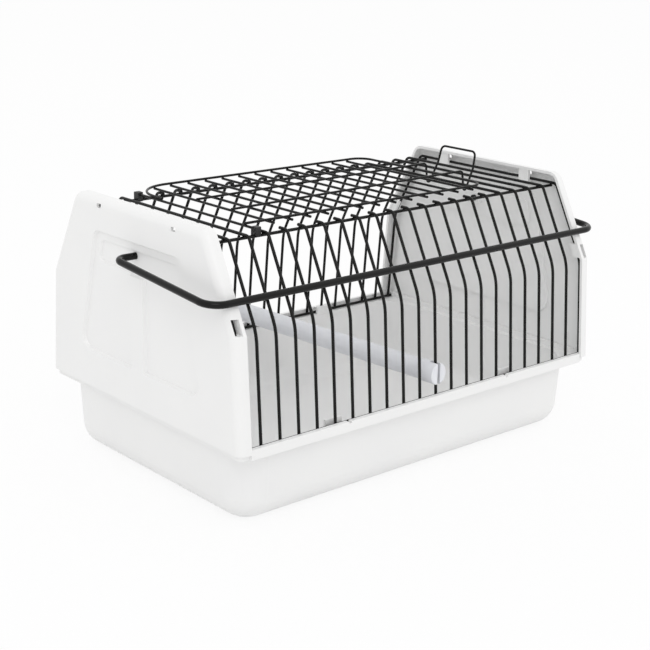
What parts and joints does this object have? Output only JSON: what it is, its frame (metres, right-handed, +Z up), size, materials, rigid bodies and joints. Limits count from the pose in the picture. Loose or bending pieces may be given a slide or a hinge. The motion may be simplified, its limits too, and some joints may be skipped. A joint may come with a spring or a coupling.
{
  "type": "bird travel carrier",
  "caption": "Small pet carrier: white tray and end walls, arched black wire bars, hinged wire roof door, bail handle and perch.",
  "frame": {"origin": "on the floor under the middle of the carrier", "axes": "+X along the length towards the latch, -Y towards the front where the handle rests, +Z up"},
  "size_m": [0.3062, 0.1874, 0.17],
  "materials": {
    "white_plastic": "semi-gloss moulded polypropylene",
    "black_wire": "gloss black coated steel wire",
    "black_rod": "gloss black coated steel rod",
    "black_clip": "black moulded plastic",
    "perch_plastic": "matt white plastic"
  },
  "bodies": {
    "tray": {"tray": "white_plastic"},
    "cage": {"end_wall_left": "white_plastic", "end_wall_right": "white_plastic", "full_bar_00": "black_wire", "full_bar_01": "black_wire", "full_bar_02": "black_wire", "full_bar_17": "black_wire", "full_bar_18": "black_wire", "full_bar_19": "black_wire", "full_bar_20": "black_wire", "full_bar_21": "black_wire", "front_bar_03": "black_wire", "front_bar_04": "black_wire", "front_bar_05": "black_wire", "front_bar_06": "black_wire", "front_bar_07": "black_wire", "front_bar_08": "black_wire", "front_bar_09": "black_wire", "front_bar_10": "black_wire", "front_bar_11": "black_wire", "front_bar_12": "black_wire", "front_bar_13": "black_wire", "front_bar_14": "black_wire", "front_bar_15": "black_wire", "front_bar_16": "black_wire", "back_bar_03": "black_wire", "back_bar_04": "black_wire", "back_bar_05": "black_wire", "back_bar_06": "black_wire", "back_bar_07": "black_wire", "back_bar_08": "black_wire", "back_bar_09": "black_wire", "back_bar_10": "black_wire", "back_bar_11": "black_wire", "back_bar_12": "black_wire", "back_bar_13": "black_wire", "back_bar_14": "black_wire", "back_bar_15": "black_wire", "back_bar_16": "black_wire", "front_roof_wire": "black_wire", "back_roof_wire": "black_wire", "front_foot_wire": "black_wire", "back_foot_wire": "black_wire", "hinge_clip_front": "black_clip", "hinge_clip_back": "black_clip"},
    "handle": {"handle": "black_rod"},
    "door": {"door_frame": "black_wire", "door_hinge_wire": "black_wire", "door_bars": "black_wire", "latch_arm_front": "black_wire", "latch_arm_back": "black_wire"},
    "latch": {"latch_loop": "black_wire"},
    "perch": {"perch": "perch_plastic", "perch_clip_front": "perch_plastic", "perch_clip_back": "perch_plastic"}
  },
  "joints": [
    {"name": "cage_lift", "type": "slide", "parent": "tray", "child": "cage", "axis": [0, 0, 1], "range_m": [0, 0.06]},
    {"name": "handle_swing", "type": "hinge", "parent": "cage", "child": "handle", "pos_m": [0, 0.0045, 0.134], "axis": [-1, 0, 0], "range_deg": [0, 195]},
    {"name": "door_swing", "type": "hinge", "parent": "cage", "child": "door", "pos_m": [-0.1015, 0, 0.15545], "axis": [0, -1, 0], "range_deg": [0, 150]},
    {"name": "latch_flex", "type": "hinge", "parent": "door", "child": "latch", "pos_m": [0.09, 0.00195, 0.15849], "axis": [0, -1, 0], "range_deg": [0, 8], "stiffness_Nm_per_rad": 0.005, "springref_deg": -11.46},
    {"name": "perch_slide", "type": "slide", "parent": "cage", "child": "perch", "axis": [0, 0, 1], "range_m": [-0.004, 0.02]}
  ]
}
